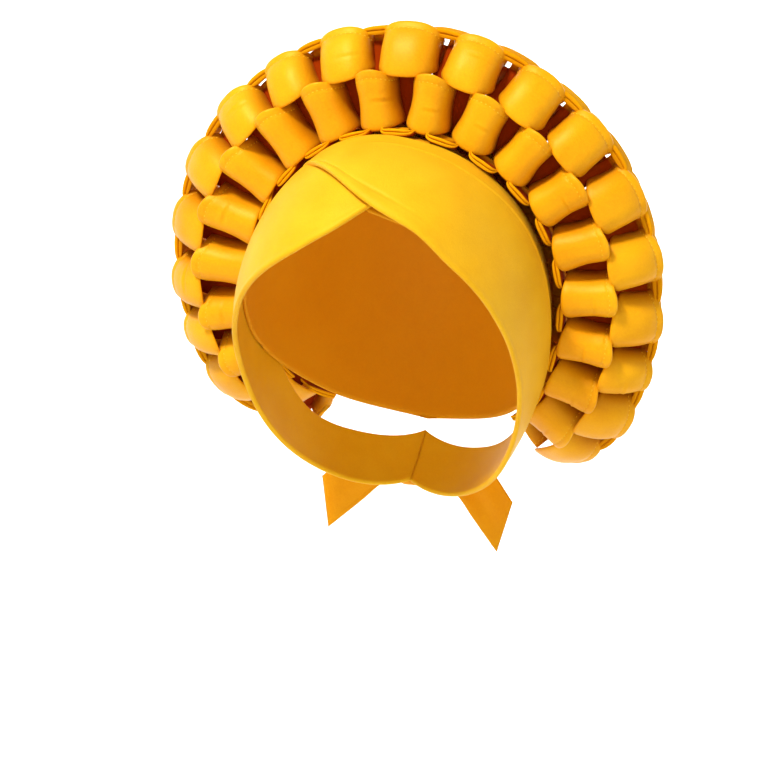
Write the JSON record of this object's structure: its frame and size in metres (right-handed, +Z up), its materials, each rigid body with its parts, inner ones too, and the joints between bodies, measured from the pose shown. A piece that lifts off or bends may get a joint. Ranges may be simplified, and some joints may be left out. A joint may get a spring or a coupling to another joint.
{
  "type": "gele head tie",
  "caption": "Ready-tied cloth head tie: two smooth wraps cross over the forehead, and a wide woven ruff of padded loops stands round the head like a halo.",
  "frame": {"origin": "the inside of the cap at the crown, where it rests on the top of the head", "axes": "+Z up, the wearer looks along -Y, +X is the wearer's left"},
  "size_m": [0.275, 0.1898, 0.287],
  "materials": {
    "ruff_cloth": "satin knit, golden yellow",
    "wrap_cloth": "satin knit, bright yellow",
    "cap_cloth": "matte knit, golden yellow",
    "tie_cloth": "matte knit, golden yellow"
  },
  "bodies": {
    "root": {"cap": "cap_cloth", "wrap_under": "wrap_cloth", "wrap_over": "wrap_cloth", "strip_throat": "ruff_cloth", "strip_inner": "ruff_cloth", "strip_outer": "ruff_cloth", "strip_rim": "ruff_cloth", "rib_01": "ruff_cloth", "rib_02": "ruff_cloth", "rib_03": "ruff_cloth", "rib_04": "ruff_cloth", "rib_05": "ruff_cloth", "rib_06": "ruff_cloth", "rib_07": "ruff_cloth", "rib_08": "ruff_cloth", "rib_09": "ruff_cloth", "rib_10": "ruff_cloth", "rib_11": "ruff_cloth", "rib_12": "ruff_cloth", "rib_13": "ruff_cloth", "rib_14": "ruff_cloth", "rib_15": "ruff_cloth", "rib_16": "ruff_cloth", "rib_17": "ruff_cloth", "rib_18": "ruff_cloth", "rib_19": "ruff_cloth", "rib_20": "ruff_cloth", "rib_21": "ruff_cloth", "rib_22": "ruff_cloth", "rib_23": "ruff_cloth", "rib_24": "ruff_cloth", "rib_25": "ruff_cloth", "rib_26": "ruff_cloth", "rib_27": "ruff_cloth", "rib_28": "ruff_cloth", "rib_29": "ruff_cloth", "rib_30": "ruff_cloth", "rib_31": "ruff_cloth", "rib_32": "ruff_cloth", "rib_33": "ruff_cloth", "rib_34": "ruff_cloth", "rib_35": "ruff_cloth", "rib_36": "ruff_cloth", "rib_37": "ruff_cloth", "tie_knot": "tie_cloth", "tie_tail_left": "tie_cloth", "tie_tail_right": "tie_cloth"}
  },
  "joints": []
}
